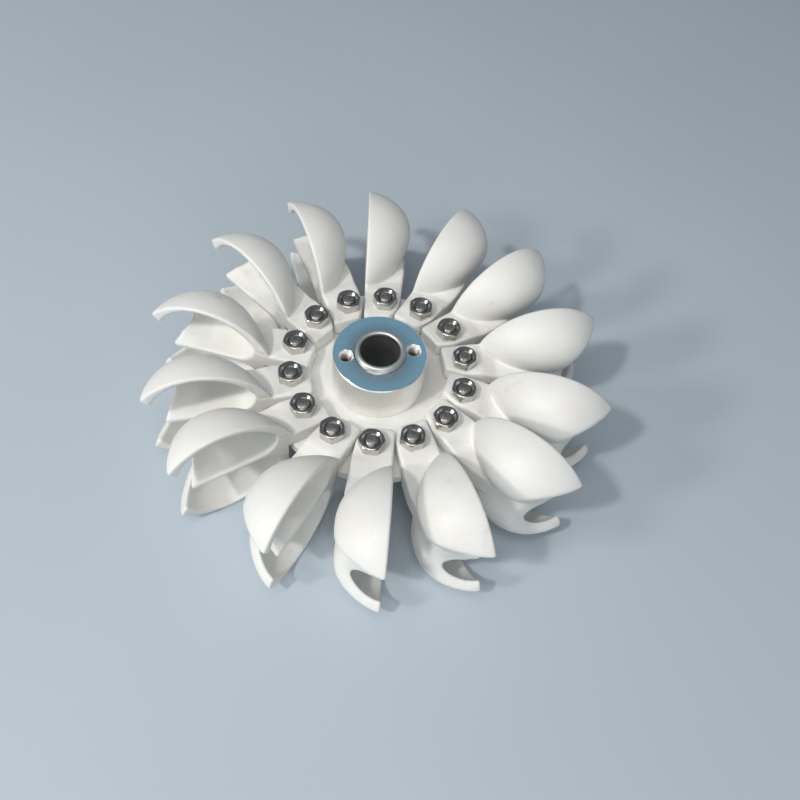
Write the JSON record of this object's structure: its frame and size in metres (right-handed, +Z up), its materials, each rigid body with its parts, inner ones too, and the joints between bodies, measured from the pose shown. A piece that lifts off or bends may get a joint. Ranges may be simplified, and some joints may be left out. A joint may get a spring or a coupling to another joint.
{
  "type": "pelton wheel",
  "caption": "Small pelton turbine runner: white plastic double-cup buckets bolted round a plastic disc with an aluminium shaft hub, lying flat.",
  "frame": {"origin": "on the wheel's axis, at the level of the cups' lowest edges, where the wheel lies on a flat surface", "axes": "+Z up along the wheel's axis, towards the side with the hub boss and the nuts; +Y along the nominal radius of bucket_01; the cups open counter-clockwise seen from +Z"},
  "size_m": [0.1994, 0.1996, 0.056],
  "materials": {
    "white_plastic": "matte moulded nylon",
    "stainless_steel": "bright",
    "aluminium": "turned and polished"
  },
  "bodies": {
    "root": {"disc": "white_plastic", "hub": "aluminium", "hub_flange": "aluminium", "bucket_01": "white_plastic", "bolt_01": "stainless_steel", "nut_01": "stainless_steel", "bucket_02": "white_plastic", "bolt_02": "stainless_steel", "nut_02": "stainless_steel", "bucket_03": "white_plastic", "bolt_03": "stainless_steel", "nut_03": "stainless_steel", "bucket_04": "white_plastic", "bolt_04": "stainless_steel", "nut_04": "stainless_steel", "bucket_05": "white_plastic", "bolt_05": "stainless_steel", "nut_05": "stainless_steel", "bucket_06": "white_plastic", "bolt_06": "stainless_steel", "nut_06": "stainless_steel", "bucket_07": "white_plastic", "bolt_07": "stainless_steel", "nut_07": "stainless_steel", "bucket_08": "white_plastic", "bolt_08": "stainless_steel", "nut_08": "stainless_steel", "bucket_09": "white_plastic", "bolt_09": "stainless_steel", "nut_09": "stainless_steel", "bucket_10": "white_plastic", "bolt_10": "stainless_steel", "nut_10": "stainless_steel", "bucket_11": "white_plastic", "bolt_11": "stainless_steel", "nut_11": "stainless_steel", "bucket_12": "white_plastic", "bolt_12": "stainless_steel", "nut_12": "stainless_steel", "bucket_13": "white_plastic", "bolt_13": "stainless_steel", "nut_13": "stainless_steel", "bucket_14": "white_plastic", "bolt_14": "stainless_steel", "nut_14": "stainless_steel"}
  },
  "joints": []
}
